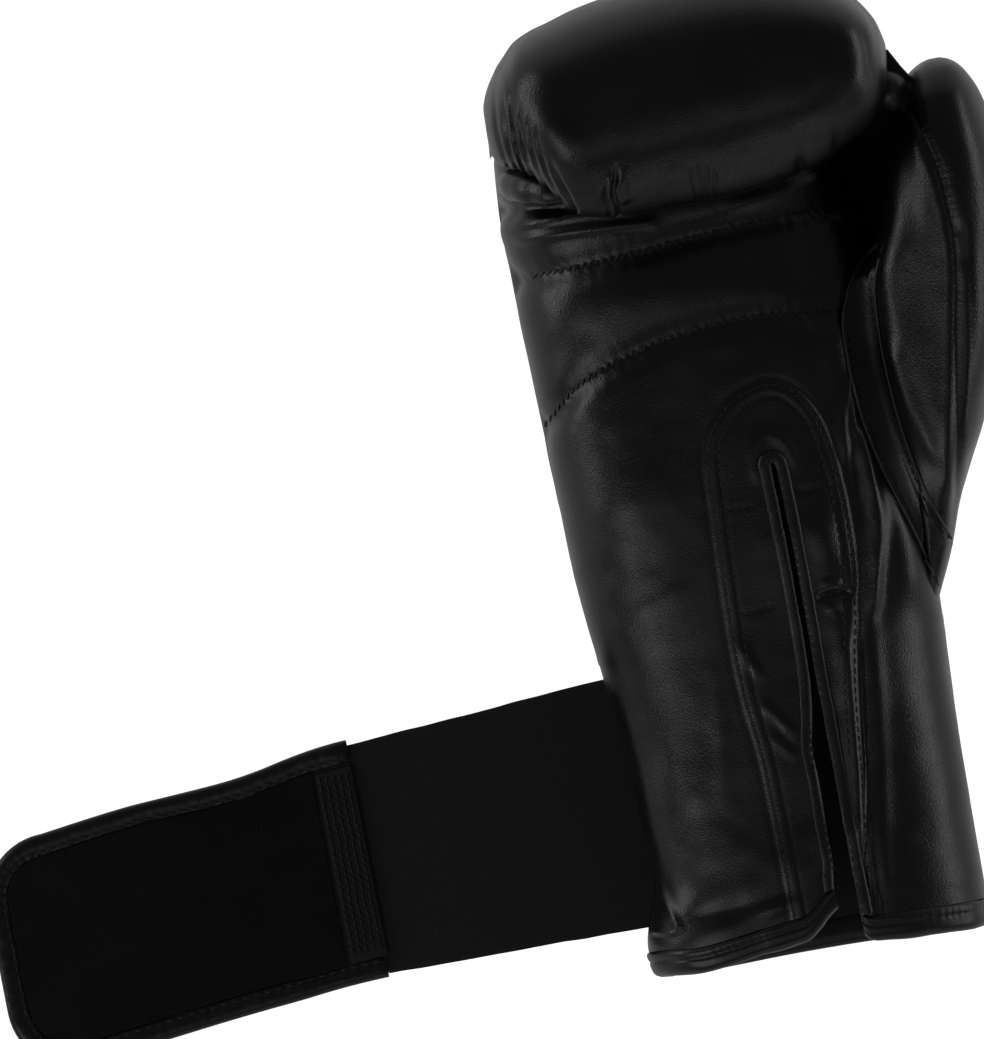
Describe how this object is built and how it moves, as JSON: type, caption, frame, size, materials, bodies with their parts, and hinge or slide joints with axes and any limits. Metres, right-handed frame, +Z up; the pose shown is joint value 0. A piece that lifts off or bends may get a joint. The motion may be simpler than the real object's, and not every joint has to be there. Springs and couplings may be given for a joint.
{
  "type": "kickboxing glove",
  "caption": "Black padded kickboxing glove for the right hand, lying on its back with the slit cuff open and its elastic wrist strap and hook tab laid out flat.",
  "frame": {"origin": "on the flat of the glove's back where it rests, under the middle of the palm", "axes": "+Z up out of the palm, +Y towards the fist, +X towards the thumb; the strap runs out along -X"},
  "size_m": [0.3425, 0.2974, 0.1081],
  "materials": {
    "leather": "glossy fine-grained black leather",
    "binding": "glossy smooth black binding",
    "elastic": "matt ribbed black elastic",
    "hook": "matt black hook field"
  },
  "bodies": {
    "root": {"fist_pad": "leather", "hand_back": "leather", "side_bolster": "leather", "palm_grip": "leather", "palm_upper": "leather", "palm_lower": "leather", "cuff_back": "leather", "wrist_patch": "leather", "slit_binding": "binding", "hem_binding": "binding", "thumb_gusset": "leather", "thumb_panel": "leather", "thumb_pad": "leather", "thumb_keeper": "binding", "thumb_web": "leather", "strap_elastic": "elastic", "strap_tab": "leather", "tab_binding": "binding", "hook_field": "hook", "strap_join": "elastic"}
  },
  "joints": []
}
